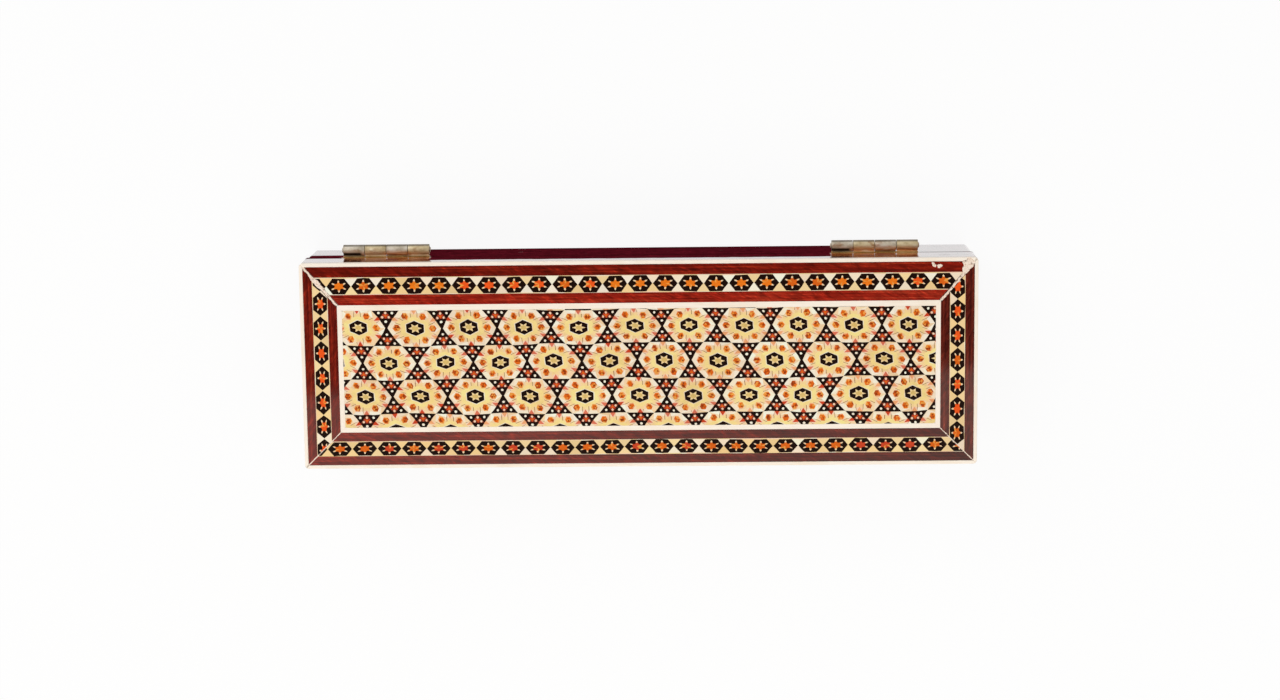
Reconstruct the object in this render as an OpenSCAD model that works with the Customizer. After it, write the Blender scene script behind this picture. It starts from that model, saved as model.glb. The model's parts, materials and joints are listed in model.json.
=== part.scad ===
// Inlaid wooden pen box with a flat lid on two brass hinges.
// The box lies on its base: +X runs along its length, +Y points to the hinges
// and +Z points up. The origin is the middle of the underside.
// All sizes are in millimetres.

/* [Box] */
// Length of the lid over its edging
box_length = 220; // [170:1:260]
// Width of the lid over its edging
box_width = 68; // [58:1:90]
// Height of the closed box
box_height = 35; // [30:1:60]
// Height of the lid with its inlay
lid_height = 14.5; // [10:0.5:16]
// Gap between the rim of the lid and the rim of the body
rim_gap = 0.3; // [0.2:0.05:0.6]
// How far the lid stands out past the sides of the body
lid_overhang = 0.4; // [0.1:0.1:1]
// Radius of the upright corners
corner_r = 1.2; // [0.4:0.1:2]

/* [Boards] */
// Thickness of the walls of body and lid, without veneer
wall_t = 4.8; // [4.4:0.1:6.5]
// Thickness of the base board
base_t = 4; // [3:0.1:6]
// Depth of the rebate in the walls that the base board sits in
base_rebate = 2; // [1:0.1:3]
// Thickness of the lid board
lid_board_t = 3.6; // [2.5:0.1:4.5]
// Thickness of the tongue that laps over the end walls at each corner
tongue_t = 2.4; // [1.5:0.1:3]

/* [Lid inlay] */
// Thickness of the inlay on the top of the lid
inlay_t = 1.2; // [0.8:0.1:2]
// Thickness of the edging and the veneer on the sides of the lid
lid_side_t = 1.2; // [0.8:0.1:1.8]
// Height of the white edging
edging_h = 2.4; // [1.5:0.1:4]
// Width of the outer brown banding
outer_banding_w = 2.95; // [2:0.05:4]
// Width of the star border
border_w = 4.95; // [4:0.05:7]
// Width of the inner brown banding
inner_banding_w = 2.95; // [2:0.05:4]
// Width of the white stringing around the middle panel
stringing_w = 1.6; // [1:0.05:2.5]
// Width of the strips on the hinge side as a multiple of those on the other sides
hinge_side_ratio = 1.16; // [1:0.01:1.3]
// Width of the filler in the mitres at the front corners
front_mitre_gap = 0.3; // [0.1:0.05:0.6]
// Width of the filler in the mitres at the hinge corners
back_mitre_gap = 1.1; // [0.2:0.1:1.6]

/* [Side veneer] */
// Thickness of the veneer on the sides of the body
side_veneer_t = 1.2; // [0.8:0.1:1.8]
// Height of each white line on the sides of the body
side_line_h = 1.2; // [0.8:0.1:2]
// Height of each brown banding on the sides of the body
side_banding_h = 3; // [2:0.1:4]

/* [Lining] */
// Thickness of the lining on the floor and in the lid
floor_lining_t = 0.8; // [0.5:0.1:1.5]
// Thickness of the lining on the walls
wall_lining_t = 0.6; // [0.4:0.1:1]
// Distance from the rim of the body down to the wall lining
lining_drop = 1.5; // [1:0.1:4]

/* [Hinges] */
// Distance from the left end of the lid to the middle of the left hinge
left_hinge_inset = 27.1; // [24:0.1:60]
// Distance from the right end of the lid to the middle of the right hinge
right_hinge_inset = 32.6; // [24:0.1:60]
// Length of each hinge
hinge_length = 28.4; // [20:0.2:34]
// Number of knuckles on each hinge, which belong to body and lid in turn
knuckle_count = 4; // [2:2:6]
// Outer diameter of the knuckles
knuckle_d = 3.5; // [2.6:0.1:4]
// Gap between neighbouring knuckles
knuckle_gap = 0.2; // [0.1:0.05:0.4]
// How much shorter than its knuckle the arm of a knuckle is at each end
arm_inset = 0.1; // [0.05:0.05:0.5]
// Diameter of the hinge pin
pin_d = 1.4; // [1:0.1:1.6]
// Gap all round the pin in its knuckles
pin_fit = 0.05; // [0.02:0.01:0.09]
// Diameter of the peened heads of the pin
pin_head_d = 2; // [1.8:0.1:2.4]
// Height of the peened heads of the pin
pin_head_h = 0.35; // [0.2:0.05:0.6]
// Distance from the back of the lid to the axis of the hinges
barrel_offset = 2.35; // [2.2:0.05:5]
// Thickness of the hinge leaves
leaf_t = 0.7; // [0.6:0.05:1]
// How far the leaves reach in over the wood from the back of the body
leaf_reach = 4.6; // [4:0.1:5.2]
// Gap around a leaf in its recess
leaf_fit = 0.15; // [0.05:0.05:0.4]
// Gap between a knuckle and the other leaf
notch_gap = 0.35; // [0.3:0.05:0.6]

/* [Hinge nails] */
// Number of nails in each leaf
nail_count = 3; // [2:1:4]
// Length of the nails
nail_length = 6; // [4:0.5:6.5]
// Diameter of the nail shanks
nail_d = 0.9; // [0.7:0.05:1.1]
// Diameter of the countersunk heads
nail_head_d = 2; // [1.6:0.1:2.2]
// Height of the countersunk heads
nail_head_h = 0.45; // [0.3:0.05:0.55]
// Gap around a nail in its holes
nail_fit = 0.03; // [0.01:0.01:0.1]

/* [Hidden] */
$fn = 48;

// Colours
bone = "#f3e6d3";
brown = "#7d1c10";
maroon = "#4c0c14";
tessera = "#c79a58";
velvet = "#6b0f1e";
timber = "#b88a5a";
brass = "#b59a62";
putty = "#e2cbb4";

// Sides in turn around the box
FRONT = 0;
RIGHT = 1;
BACK = 2;
LEFT = 3;

// Heights
body_rim_z = box_height - lid_height - rim_gap;
lid_rim_z = box_height - lid_height;
hinge_z = (body_rim_z + lid_rim_z) / 2;
inlay_z = box_height - inlay_t;
lid_board_z = inlay_z - lid_board_t;
edging_z = box_height - edging_h;
lower_line_z = side_line_h;
lower_banding_z = lower_line_z + side_banding_h;
upper_line_z = body_rim_z - side_line_h;
upper_banding_z = upper_line_z - side_banding_h;
wall_lining_z = body_rim_z - lining_drop;

// Outlines as [left, right, front, back]
lid_rect = [-box_length / 2, box_length / 2, -box_width / 2, box_width / 2];
lid_core_rect = inset(lid_rect, lid_side_t);
lid_hollow_rect = inset(lid_core_rect, wall_t);
border_outer_rect = inset_strip(lid_core_rect, outer_banding_w);
border_inner_rect = inset_strip(border_outer_rect, border_w);
stringing_rect = inset_strip(border_inner_rect, inner_banding_w);
panel_rect = inset_strip(stringing_rect, stringing_w);
body_rect = inset(lid_rect, lid_overhang);
body_core_rect = inset(body_rect, side_veneer_t);
base_rect = inset(body_core_rect, wall_t - base_rebate);
hollow_rect = inset(body_core_rect, wall_t);
tray_rect = inset(hollow_rect, wall_lining_t);

// Hinge places
left_hinge_x = -box_length / 2 + left_hinge_inset;
right_hinge_x = box_length / 2 - right_hinge_inset;
hinge_y = box_width / 2 + barrel_offset;
leaf_inner_y = body_rect[3] - leaf_reach;
leaf_outer_y = hinge_y - knuckle_d / 2 - notch_gap;
nail_y = (leaf_inner_y + body_core_rect[3]) / 2;
knuckle_pitch = hinge_length / knuckle_count;
knuckle_length = knuckle_pitch - knuckle_gap;
nail_pitch = hinge_length / nail_count;

// Length that a cut runs on past the face it opens
cut = 1;
// Steps along the arc of half an upright corner
arc_steps = 4;

function inset(rect, d) = [rect[0] + d, rect[1] - d, rect[2] + d, rect[3] - d];

// Inset by the width of a lid strip, which is wider along the hinge side
function inset_strip(rect, w) =
    [rect[0] + w, rect[1] - w, rect[2] + w, rect[3] - w * hinge_side_ratio];

// Corners in turn: front left, front right, back right, back left
function rect_corner(rect, k) = [rect[k == 1 || k == 2 ? 1 : 0], rect[k > 1 ? 3 : 2]];

// Half of the rounded corner k, from the given angle on, or the sharp corner
function corner_points(rect, k, r, from) =
    let (middle = rect_corner(rect, k) + [k == 0 || k == 3 ? r : -r, k < 2 ? r : -r])
    r == 0 ? [rect_corner(rect, k)] :
    [for (s = [0 : arc_steps]) let (a = from + 45 * s / arc_steps) middle + r * [cos(a), sin(a)]];

// Outline of the mitred strip along one side, between two outlines
function strip_points(side, outer, inner, r) = concat(
    corner_points(outer, side, r, 225 + 90 * side),
    corner_points(outer, (side + 1) % 4, r, 270 + 90 * side),
    [rect_corner(inner, (side + 1) % 4), rect_corner(inner, side)]);

// Outline of a front or back wall, whose ends lap over the end walls
function lapped_points(rect, side) =
    let (y = side == FRONT ? rect[2] : rect[3], s = side == FRONT ? 1 : -1)
    [[rect[0], y], [rect[1], y],
     [rect[1], y + s * tongue_t], [rect[1] - wall_t, y + s * tongue_t],
     [rect[1] - wall_t, y + s * wall_t], [rect[0] + wall_t, y + s * wall_t],
     [rect[0] + wall_t, y + s * tongue_t], [rect[0], y + s * tongue_t]];

// Outline of an end wall, which fits between the laps
function end_points(rect, side) =
    let (x = side == LEFT ? rect[0] : rect[1] - wall_t)
    [[x, rect[2] + tongue_t], [x + wall_t, rect[2] + tongue_t],
     [x + wall_t, rect[3] - tongue_t], [x, rect[3] - tongue_t]];

module prism(points, z0, z1) {
    translate([0, 0, z0]) linear_extrude(height = z1 - z0) polygon(points);
}

module plate(rect, z0, z1) {
    translate([rect[0], rect[2], z0]) cube([rect[1] - rect[0], rect[3] - rect[2], z1 - z0]);
}

module strip(side, outer, inner, z0, z1, r = 0) {
    prism(strip_points(side, outer, inner, r), z0, z1);
}

module wall(side, rect, z0, z1) {
    prism(side % 2 == 0 ? lapped_points(rect, side) : end_points(rect, side), z0, z1);
}

// Plan of the slot along the mitre at corner k
module mitre_slot(k) {
    outer = rect_corner(lid_core_rect, k);
    inner = rect_corner(stringing_rect, k);
    along = (inner - outer) / norm(inner - outer);
    half = [-along[1], along[0]] * (k < 2 ? front_mitre_gap : back_mitre_gap) / 2;
    start = outer - along * cut;
    end = inner + along * cut;
    polygon([start - half, end - half, end + half, start + half]);
}

module rect_plan(rect) {
    translate([rect[0], rect[2]]) square([rect[1] - rect[0], rect[3] - rect[2]]);
}

// A strip of the lid top with its ends cut back for the filler
module inlay_strip(side, outer, inner) {
    difference() {
        strip(side, outer, inner, inlay_z, box_height);
        for (k = [side, (side + 1) % 4])
            translate([0, 0, inlay_z - cut]) linear_extrude(height = inlay_t + 2 * cut) mitre_slot(k);
    }
}

// Recess for a pair of leaves in the rims, from z0 to z1
module leaf_recess(x, z0, z1) {
    half = hinge_length / 2 + leaf_fit;
    plate([x - half, x + half, leaf_inner_y - leaf_fit, hinge_y], z0, z1);
}

module body_recesses() {
    for (x = [left_hinge_x, right_hinge_x])
        leaf_recess(x, body_rim_z - leaf_t, body_rim_z + cut);
}

module lid_recesses() {
    for (x = [left_hinge_x, right_hinge_x])
        leaf_recess(x, lid_rim_z - cut, lid_rim_z + leaf_t);
}

// Puts a nail or its hole at every nail place of one hinge, head up
module at_nails(hinge_x) {
    for (i = [0 : nail_count - 1])
        translate([hinge_x - hinge_length / 2 + (i + 0.5) * nail_pitch, nail_y, 0]) children();
}

// Countersunk nail whose head lies at height 0, with its point down; a cutter for it runs on above
module nail(fit, over = 0) {
    shank_r = nail_d / 2 + fit;
    head_r = nail_head_d / 2 + fit;
    top = over > 0 ? [[0, over], [head_r, over], [head_r, 0]] : [[0, 0], [head_r, 0]];
    rotate_extrude() polygon(concat(top, [
        [shank_r, -nail_head_h], [shank_r, nail_d - nail_length],
        [shank_r / 4, -nail_length], [0, -nail_length]]));
}

// Hole for a nail that also clears its point
module nail_hole() {
    shank_r = nail_d / 2 + nail_fit;
    translate([0, 0, -nail_length - nail_fit]) cylinder(h = nail_length + nail_fit, r = shank_r);
}

// Turns what is made for the body rim over, to the lid rim
module on_lid_rim() {
    translate([0, 0, lid_rim_z]) mirror([0, 0, 1]) children();
}

// Left end of knuckle i
function knuckle_x(hinge_x, i) = hinge_x - hinge_length / 2 + i * knuckle_pitch + knuckle_gap / 2;

// Plan of a leaf with an arm to each of its knuckles
module leaf_plan(hinge_x, first_knuckle) {
    half = hinge_length / 2;
    rect_plan([hinge_x - half, hinge_x + half, leaf_inner_y, leaf_outer_y]);
    for (i = [first_knuckle : 2 : knuckle_count - 1]) {
        x0 = knuckle_x(hinge_x, i);
        rect_plan([x0 + arm_inset, x0 + knuckle_length - arm_inset, leaf_outer_y - leaf_t, hinge_y]);
    }
}

// Leaf with its knuckles, whose outer face lies at height 0 and whose plate is below it
module leaf(hinge_x, first_knuckle) {
    axis_z = rim_gap / 2;
    difference() {
        union() {
            translate([0, 0, -leaf_t]) linear_extrude(height = leaf_t) leaf_plan(hinge_x, first_knuckle);
            for (i = [first_knuckle : 2 : knuckle_count - 1])
                translate([knuckle_x(hinge_x, i), hinge_y, axis_z]) rotate([0, 90, 0])
                    cylinder(h = knuckle_length, d = knuckle_d);
        }
        translate([hinge_x - hinge_length / 2 - cut, hinge_y, axis_z]) rotate([0, 90, 0])
            cylinder(h = hinge_length + 2 * cut, r = pin_d / 2 + pin_fit);
        at_nails(hinge_x) nail(nail_fit, cut);
    }
}

module body_leaf(hinge_x) {
    translate([0, 0, body_rim_z]) leaf(hinge_x, 0);
}

module lid_leaf(hinge_x) {
    on_lid_rim() leaf(hinge_x, 1);
}

// Pin through all knuckles of one hinge, with a peened head at each end
module pin(hinge_x) {
    r = pin_d / 2;
    head_r = pin_head_d / 2;
    translate([hinge_x - hinge_length / 2, hinge_y, hinge_z]) rotate([0, 90, 0]) rotate_extrude() polygon([
        [0, -pin_head_h], [r, -pin_head_h], [head_r, 0], [r, 0],
        [r, hinge_length], [head_r, hinge_length], [r, hinge_length + pin_head_h],
        [0, hinge_length + pin_head_h]]);
}

// Body carcass

module base_board() {
    color(timber) plate(base_rect, 0, base_t);
}

module carcass_wall(side) {
    color(timber) difference() {
        wall(side, body_core_rect, 0, body_rim_z);
        plate(base_rect, -cut, base_t);
        if (side == BACK) {
            body_recesses();
            for (x = [left_hinge_x, right_hinge_x])
                at_nails(x) translate([0, 0, body_rim_z]) nail_hole();
        }
    }
}

module front_wall() { carcass_wall(FRONT); }
module right_wall() { carcass_wall(RIGHT); }
module back_wall() { carcass_wall(BACK); }
module left_wall() { carcass_wall(LEFT); }

// Veneer on the sides of the body

module side_strip(side, z0, z1) {
    strip(side, body_rect, body_core_rect, z0, z1, corner_r);
}

module side_khatam(side) {
    color(tessera) side_strip(side, lower_banding_z, upper_banding_z);
}

module side_banding(side) {
    color(brown) {
        side_strip(side, lower_line_z, lower_banding_z);
        side_strip(side, upper_banding_z, upper_line_z);
    }
}

module side_lines(side) {
    color(bone) {
        side_strip(side, 0, lower_line_z);
        side_strip(side, upper_line_z, body_rim_z);
    }
}

module front_khatam() { side_khatam(FRONT); }
module right_khatam() { side_khatam(RIGHT); }
module left_khatam() { side_khatam(LEFT); }
module front_banding() { side_banding(FRONT); }
module right_banding() { side_banding(RIGHT); }
module left_banding() { side_banding(LEFT); }
module front_lines() { side_lines(FRONT); }
module right_lines() { side_lines(RIGHT); }
module left_lines() { side_lines(LEFT); }

module back_veneer() {
    color(maroon) difference() {
        side_strip(BACK, 0, body_rim_z);
        body_recesses();
    }
}

// Lining of the body

module wall_lining(side) {
    color(velvet) strip(side, hollow_rect, tray_rect, base_t, wall_lining_z);
}

module floor_lining() {
    color(velvet) plate(tray_rect, base_t, base_t + floor_lining_t);
}

module front_lining() { wall_lining(FRONT); }
module right_lining() { wall_lining(RIGHT); }
module back_lining() { wall_lining(BACK); }
module left_lining() { wall_lining(LEFT); }

// Lid frame

module lid_board() {
    color(timber) plate(lid_core_rect, lid_board_z, inlay_z);
}

module lid_rail(side) {
    color(timber) difference() {
        wall(side, lid_core_rect, lid_rim_z, lid_board_z);
        if (side == BACK) {
            lid_recesses();
            on_lid_rim() for (x = [left_hinge_x, right_hinge_x]) at_nails(x) nail_hole();
        }
    }
}

module lid_front_rail() { lid_rail(FRONT); }
module lid_right_rail() { lid_rail(RIGHT); }
module lid_back_rail() { lid_rail(BACK); }
module lid_left_rail() { lid_rail(LEFT); }

module lid_lining() {
    color(velvet) plate(lid_hollow_rect, lid_board_z - floor_lining_t, lid_board_z);
}

// Veneer and edging on the sides of the lid

module lid_veneer(side) {
    color(side == BACK ? maroon : brown) difference() {
        strip(side, lid_rect, lid_core_rect, lid_rim_z, edging_z, corner_r);
        if (side == BACK) lid_recesses();
    }
}

module edging(side) {
    color(bone) strip(side, lid_rect, lid_core_rect, edging_z, box_height, corner_r);
}

module lid_front_veneer() { lid_veneer(FRONT); }
module lid_right_veneer() { lid_veneer(RIGHT); }
module lid_back_veneer() { lid_veneer(BACK); }
module lid_left_veneer() { lid_veneer(LEFT); }
module front_edging() { edging(FRONT); }
module right_edging() { edging(RIGHT); }
module back_edging() { edging(BACK); }
module left_edging() { edging(LEFT); }

// Inlay on the top of the lid, from the edging inwards

module outer_banding(side) {
    color(brown) inlay_strip(side, lid_core_rect, border_outer_rect);
}

module border(side) {
    color(tessera) inlay_strip(side, border_outer_rect, border_inner_rect);
}

module inner_banding(side) {
    color(brown) inlay_strip(side, border_inner_rect, stringing_rect);
}

module stringing(side) {
    color(bone) strip(side, stringing_rect, panel_rect, inlay_z, box_height);
}

module front_outer_banding() { outer_banding(FRONT); }
module right_outer_banding() { outer_banding(RIGHT); }
module back_outer_banding() { outer_banding(BACK); }
module left_outer_banding() { outer_banding(LEFT); }
module front_border() { border(FRONT); }
module right_border() { border(RIGHT); }
module back_border() { border(BACK); }
module left_border() { border(LEFT); }
module front_inner_banding() { inner_banding(FRONT); }
module right_inner_banding() { inner_banding(RIGHT); }
module back_inner_banding() { inner_banding(BACK); }
module left_inner_banding() { inner_banding(LEFT); }
module front_stringing() { stringing(FRONT); }
module right_stringing() { stringing(RIGHT); }
module back_stringing() { stringing(BACK); }
module left_stringing() { stringing(LEFT); }

module khatam_panel() {
    color(tessera) plate(panel_rect, inlay_z, box_height);
}

module mitre_filler() {
    color(putty) for (k = [0 : 3])
        translate([0, 0, inlay_z]) linear_extrude(height = inlay_t) intersection() {
            mitre_slot(k);
            difference() {
                rect_plan(lid_core_rect);
                rect_plan(stringing_rect);
            }
        }
}

// Hinges

module left_hinge_body_leaf() { color(brass) body_leaf(left_hinge_x); }
module right_hinge_body_leaf() { color(brass) body_leaf(right_hinge_x); }
module left_hinge_lid_leaf() { color(brass) lid_leaf(left_hinge_x); }
module right_hinge_lid_leaf() { color(brass) lid_leaf(right_hinge_x); }
module left_hinge_pin() { color(brass) pin(left_hinge_x); }
module right_hinge_pin() { color(brass) pin(right_hinge_x); }

module hinge_body_nails() {
    color(brass) for (x = [left_hinge_x, right_hinge_x])
        translate([0, 0, body_rim_z]) at_nails(x) nail(0);
}

module hinge_lid_nails() {
    color(brass) for (x = [left_hinge_x, right_hinge_x]) on_lid_rim() at_nails(x) nail(0);
}

base_board();
front_wall();
right_wall();
back_wall();
left_wall();
front_khatam();
right_khatam();
left_khatam();
front_banding();
right_banding();
left_banding();
front_lines();
right_lines();
left_lines();
back_veneer();
floor_lining();
front_lining();
right_lining();
back_lining();
left_lining();
lid_board();
lid_front_rail();
lid_right_rail();
lid_back_rail();
lid_left_rail();
lid_front_veneer();
lid_right_veneer();
lid_back_veneer();
lid_left_veneer();
front_edging();
right_edging();
back_edging();
left_edging();
front_outer_banding();
right_outer_banding();
back_outer_banding();
left_outer_banding();
front_border();
right_border();
back_border();
left_border();
front_inner_banding();
right_inner_banding();
back_inner_banding();
left_inner_banding();
front_stringing();
right_stringing();
back_stringing();
left_stringing();
khatam_panel();
mitre_filler();
lid_lining();
left_hinge_body_leaf();
right_hinge_body_leaf();
left_hinge_lid_leaf();
right_hinge_lid_leaf();
left_hinge_pin();
right_hinge_pin();
hinge_body_nails();
hinge_lid_nails();
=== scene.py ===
import json
import math
import random

import bmesh
import bpy
from mathutils import Matrix, Vector, geometry, noise


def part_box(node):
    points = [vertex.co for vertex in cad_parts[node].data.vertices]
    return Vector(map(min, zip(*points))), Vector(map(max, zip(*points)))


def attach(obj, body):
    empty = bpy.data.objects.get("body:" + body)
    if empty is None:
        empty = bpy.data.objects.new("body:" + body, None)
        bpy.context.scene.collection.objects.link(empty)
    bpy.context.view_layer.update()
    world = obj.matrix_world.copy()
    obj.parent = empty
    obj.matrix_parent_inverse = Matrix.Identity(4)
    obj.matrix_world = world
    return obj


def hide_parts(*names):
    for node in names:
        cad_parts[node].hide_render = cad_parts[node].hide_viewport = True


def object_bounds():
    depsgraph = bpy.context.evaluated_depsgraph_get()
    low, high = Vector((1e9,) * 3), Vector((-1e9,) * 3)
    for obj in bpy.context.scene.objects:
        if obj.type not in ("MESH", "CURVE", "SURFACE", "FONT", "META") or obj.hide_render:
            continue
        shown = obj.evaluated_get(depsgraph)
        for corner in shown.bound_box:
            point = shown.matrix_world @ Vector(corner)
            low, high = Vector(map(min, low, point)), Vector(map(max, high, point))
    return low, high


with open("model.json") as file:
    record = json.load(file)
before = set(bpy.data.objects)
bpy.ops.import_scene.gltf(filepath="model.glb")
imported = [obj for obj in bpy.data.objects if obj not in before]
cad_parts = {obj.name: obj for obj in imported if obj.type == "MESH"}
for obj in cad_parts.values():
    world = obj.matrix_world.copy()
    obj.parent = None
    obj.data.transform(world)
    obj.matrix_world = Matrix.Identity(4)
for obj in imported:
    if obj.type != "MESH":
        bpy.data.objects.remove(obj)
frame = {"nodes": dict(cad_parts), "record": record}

# A wooden pen box in khatam marquetry, closed, seen almost square to its lid.
# Lengths are metres. X runs along the box, Y to the hinges and Z up out of the lid.

NOISE_SEED = 5
noise.seed_set(NOISE_SEED)  # noise vectors depend on the clock otherwise

MM = 0.001
X = Vector((1, 0, 0))
Y = Vector((0, 1, 0))
Z = Vector((0, 0, 1))
SIDES = ("front", "right", "back", "left")
CAD_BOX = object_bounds()
LID_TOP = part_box("khatam_panel")[1].z
NODES = frame["nodes"]
BODY_OF = {node: body for body, members in frame["record"]["behaviour"]["bodies"].items()
           for node in members}


# Colours, as sRGB

def linear(colour):
    """An sRGB hex colour as linear RGBA."""
    shares = [int(colour[i:i + 2], 16) / 255 for i in (0, 2, 4)]
    return tuple(c / 12.92 if c <= 0.04045 else ((c + 0.055) / 1.055) ** 2.4 for c in shares) + (1.0,)


TESSERA_COLOURS = {
    "amber": "ec9c46",
    "black": "1c0c06",
    "brick": "92380f",
    "cream": "f6d8a2",
    "flame": "ee7a1c",
    "glue": "4a2a18",
    "gold": "dcbc74",
    "orange": "de661a",
    "mahogany": "74301e",
    "olive": "86662e",
    "petal": "fbe7cc",
    "petal_foot": "f8d69a",
    "petal_side": "f6d6ac",
    "pink": "fbd2b4",
    "red": "cc4626",
    "rose": "dc7458",
    "rust": "b44c18",
    "salmon": "eea674",
    "scarlet": "f05a1e",
    "white": "fcf0dc",
    "yellow": "fade94",
}


# Node materials

class Finish:
    """A material around one Principled shader, with short calls for the nodes that feed it."""

    def __init__(self, name, sockets):
        self.material = bpy.data.materials.new(name)
        self.material.use_nodes = True
        self.tree = self.material.node_tree
        self.shader = self.tree.nodes["Principled BSDF"]
        for socket, value in sockets.items():
            self.feed(self.shader.inputs[socket], value)

    def feed(self, socket, value):
        """Links a node's output to a socket, or sets a constant on it."""
        if isinstance(value, bpy.types.NodeSocket):
            self.tree.links.new(value, socket)
        else:
            socket.default_value = value

    def node(self, kind, inputs, **settings):
        made = self.tree.nodes.new("ShaderNode" + kind)
        for name, value in settings.items():
            setattr(made, name, value)
        for key, value in inputs.items():
            self.feed(made.inputs[key], value)
        return made

    def place(self, size, turn=0.0):
        """Object coordinates in units of size along X, Y and Z, turned about Z first."""
        where = self.node("TexCoord", {}).outputs["Object"]
        scale = tuple(1 / length for length in size)
        if turn:
            where = self.node("Mapping", {"Vector": where, "Rotation": (0, 0, math.radians(turn))}).outputs[0]
        return self.node("Mapping", {"Vector": where, "Scale": scale}).outputs[0]

    def noise(self, size, detail=3.0, roughness=0.5, distortion=0.0, turn=0.0):
        inputs = {"Vector": self.place(size, turn), "Scale": 1.0, "Detail": detail,
                  "Roughness": roughness, "Distortion": distortion}
        return self.node("TexNoise", inputs).outputs["Fac"]

    def ramp(self, value, *stops):
        """Colours or greys at given values, blended in between."""
        made = self.node("ValToRGB", {"Fac": value})
        elements = made.color_ramp.elements
        while len(elements) < len(stops):
            elements.new(1.0)
        for element, (position, colour) in zip(elements, stops):
            element.position = position
            element.color = colour if isinstance(colour, tuple) else (colour, colour, colour, 1.0)
        return made.outputs["Color"]

    def reach(self, axis, start, end):
        """How far a place lies from start, 0, to end, 1, along an axis of the object."""
        where = self.node("SeparateXYZ", {0: self.node("TexCoord", {}).outputs["Object"]}).outputs[axis]
        return self.node("MapRange", {"Value": where, "From Min": start, "From Max": end}).outputs[0]

    def span(self, axis, low, high, blur):
        """1 between two places along an axis of the object, fading out over a length past them."""
        return self.math("MULTIPLY", self.reach(axis, low - blur, low), self.reach(axis, high + blur, high))

    def frayed(self, mask, cloud, start, end):
        """A mask whose edge a noise breaks up: 0 where their sum is start, and 1 where it is end."""
        total = self.math("ADD", mask, cloud)
        return self.node("MapRange", {"Value": total, "From Min": start, "From Max": end}).outputs[0]

    def mix(self, share, first, second, blend="MIX"):
        made = self.node("Mix", {}, data_type="RGBA", blend_type=blend)
        for key, value in ((0, share), (6, first), (7, second)):
            self.feed(made.inputs[key], value)
        return made.outputs[2]

    def math(self, operation, first, second):
        return self.node("Math", {0: first, 1: second}, operation=operation).outputs[0]

    def bump(self, height, depth):
        """Relief of that depth in metres for the shader's normal."""
        made = self.node("Bump", {"Strength": 1.0, "Distance": depth, "Height": height})
        self.feed(self.shader.inputs["Normal"], made.outputs[0])

    def set(self, **sockets):
        for name, value in sockets.items():
            self.feed(self.shader.inputs[name.replace("_", " ")], value)


LACQUER = {"Coat Weight": 1.0, "Coat Roughness": 0.06, "Coat IOR": 1.5, "Specular IOR Level": 0.0}


def along_axis(axis, length, width):
    """Noise sizes that are long along one axis and narrow across it."""
    return tuple(length if name == axis else width for name in "xyz")


def veneer(name, axis, dark, middle, light, left=1.0, right=1.0):
    """Straight-grained red-brown veneer under gloss lacquer, its grain along one axis.

    Its colour is multiplied by left and by right at those ends of the box, and by shares of both between, as
    painted light and shade that change from end to end."""
    made = Finish(name, LACQUER)
    painted_light_along = made.ramp(made.reach("X", CAD_BOX[0].x, CAD_BOX[1].x), (0.0, left), (1.0, right))
    made.set(Base_Color=made.mix(1.0, grained(made, axis, dark, middle, light), painted_light_along, "MULTIPLY"), Roughness=0.5)
    made.bump(made.noise((9 * MM, 9 * MM, 9 * MM), 2.0), 0.03 * MM)
    return made.material


def grained(made, axis, dark, middle, light):
    """The colour of veneer: long grain, slanting figure, bright slanting flecks and short dark pores."""
    grain = made.noise(along_axis(axis, 26 * MM, 0.55 * MM), 4.0, 0.6, 0.4)
    figure = made.noise(along_axis(axis, 5 * MM, 1.4 * MM), 3.0, 0.55, 0.8, turn=24)
    flecks = made.noise(along_axis(axis, 2.4 * MM, 0.4 * MM), 2.0, 0.6, 0.5, turn=20)
    pores = made.noise(along_axis(axis, 3.5 * MM, 0.12 * MM), 1.0)
    colour = made.ramp(grain, (0.30, linear(dark)), (0.52, linear(middle)), (0.74, linear(light)))
    colour = made.mix(1.0, colour, made.ramp(figure, (0.3, 0.62), (0.5, 1.0), (0.7, 1.45)), "MULTIPLY")
    colour = made.mix(1.0, colour, made.ramp(flecks, (0.56, 1.0), (0.7, 1.7)), "MULTIPLY")
    return made.mix(1.0, colour, made.ramp(pores, (0.26, 0.5), (0.4, 1.0)), "MULTIPLY")


HINGE_BOXES = [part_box(f"{hinge}_hinge_body_leaf") for hinge in ("left", "right")]
HINGE_LENGTH = HINGE_BOXES[0][1].x - HINGE_BOXES[0][0].x
LID_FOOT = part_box("lid_back_veneer")[0].z


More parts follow.
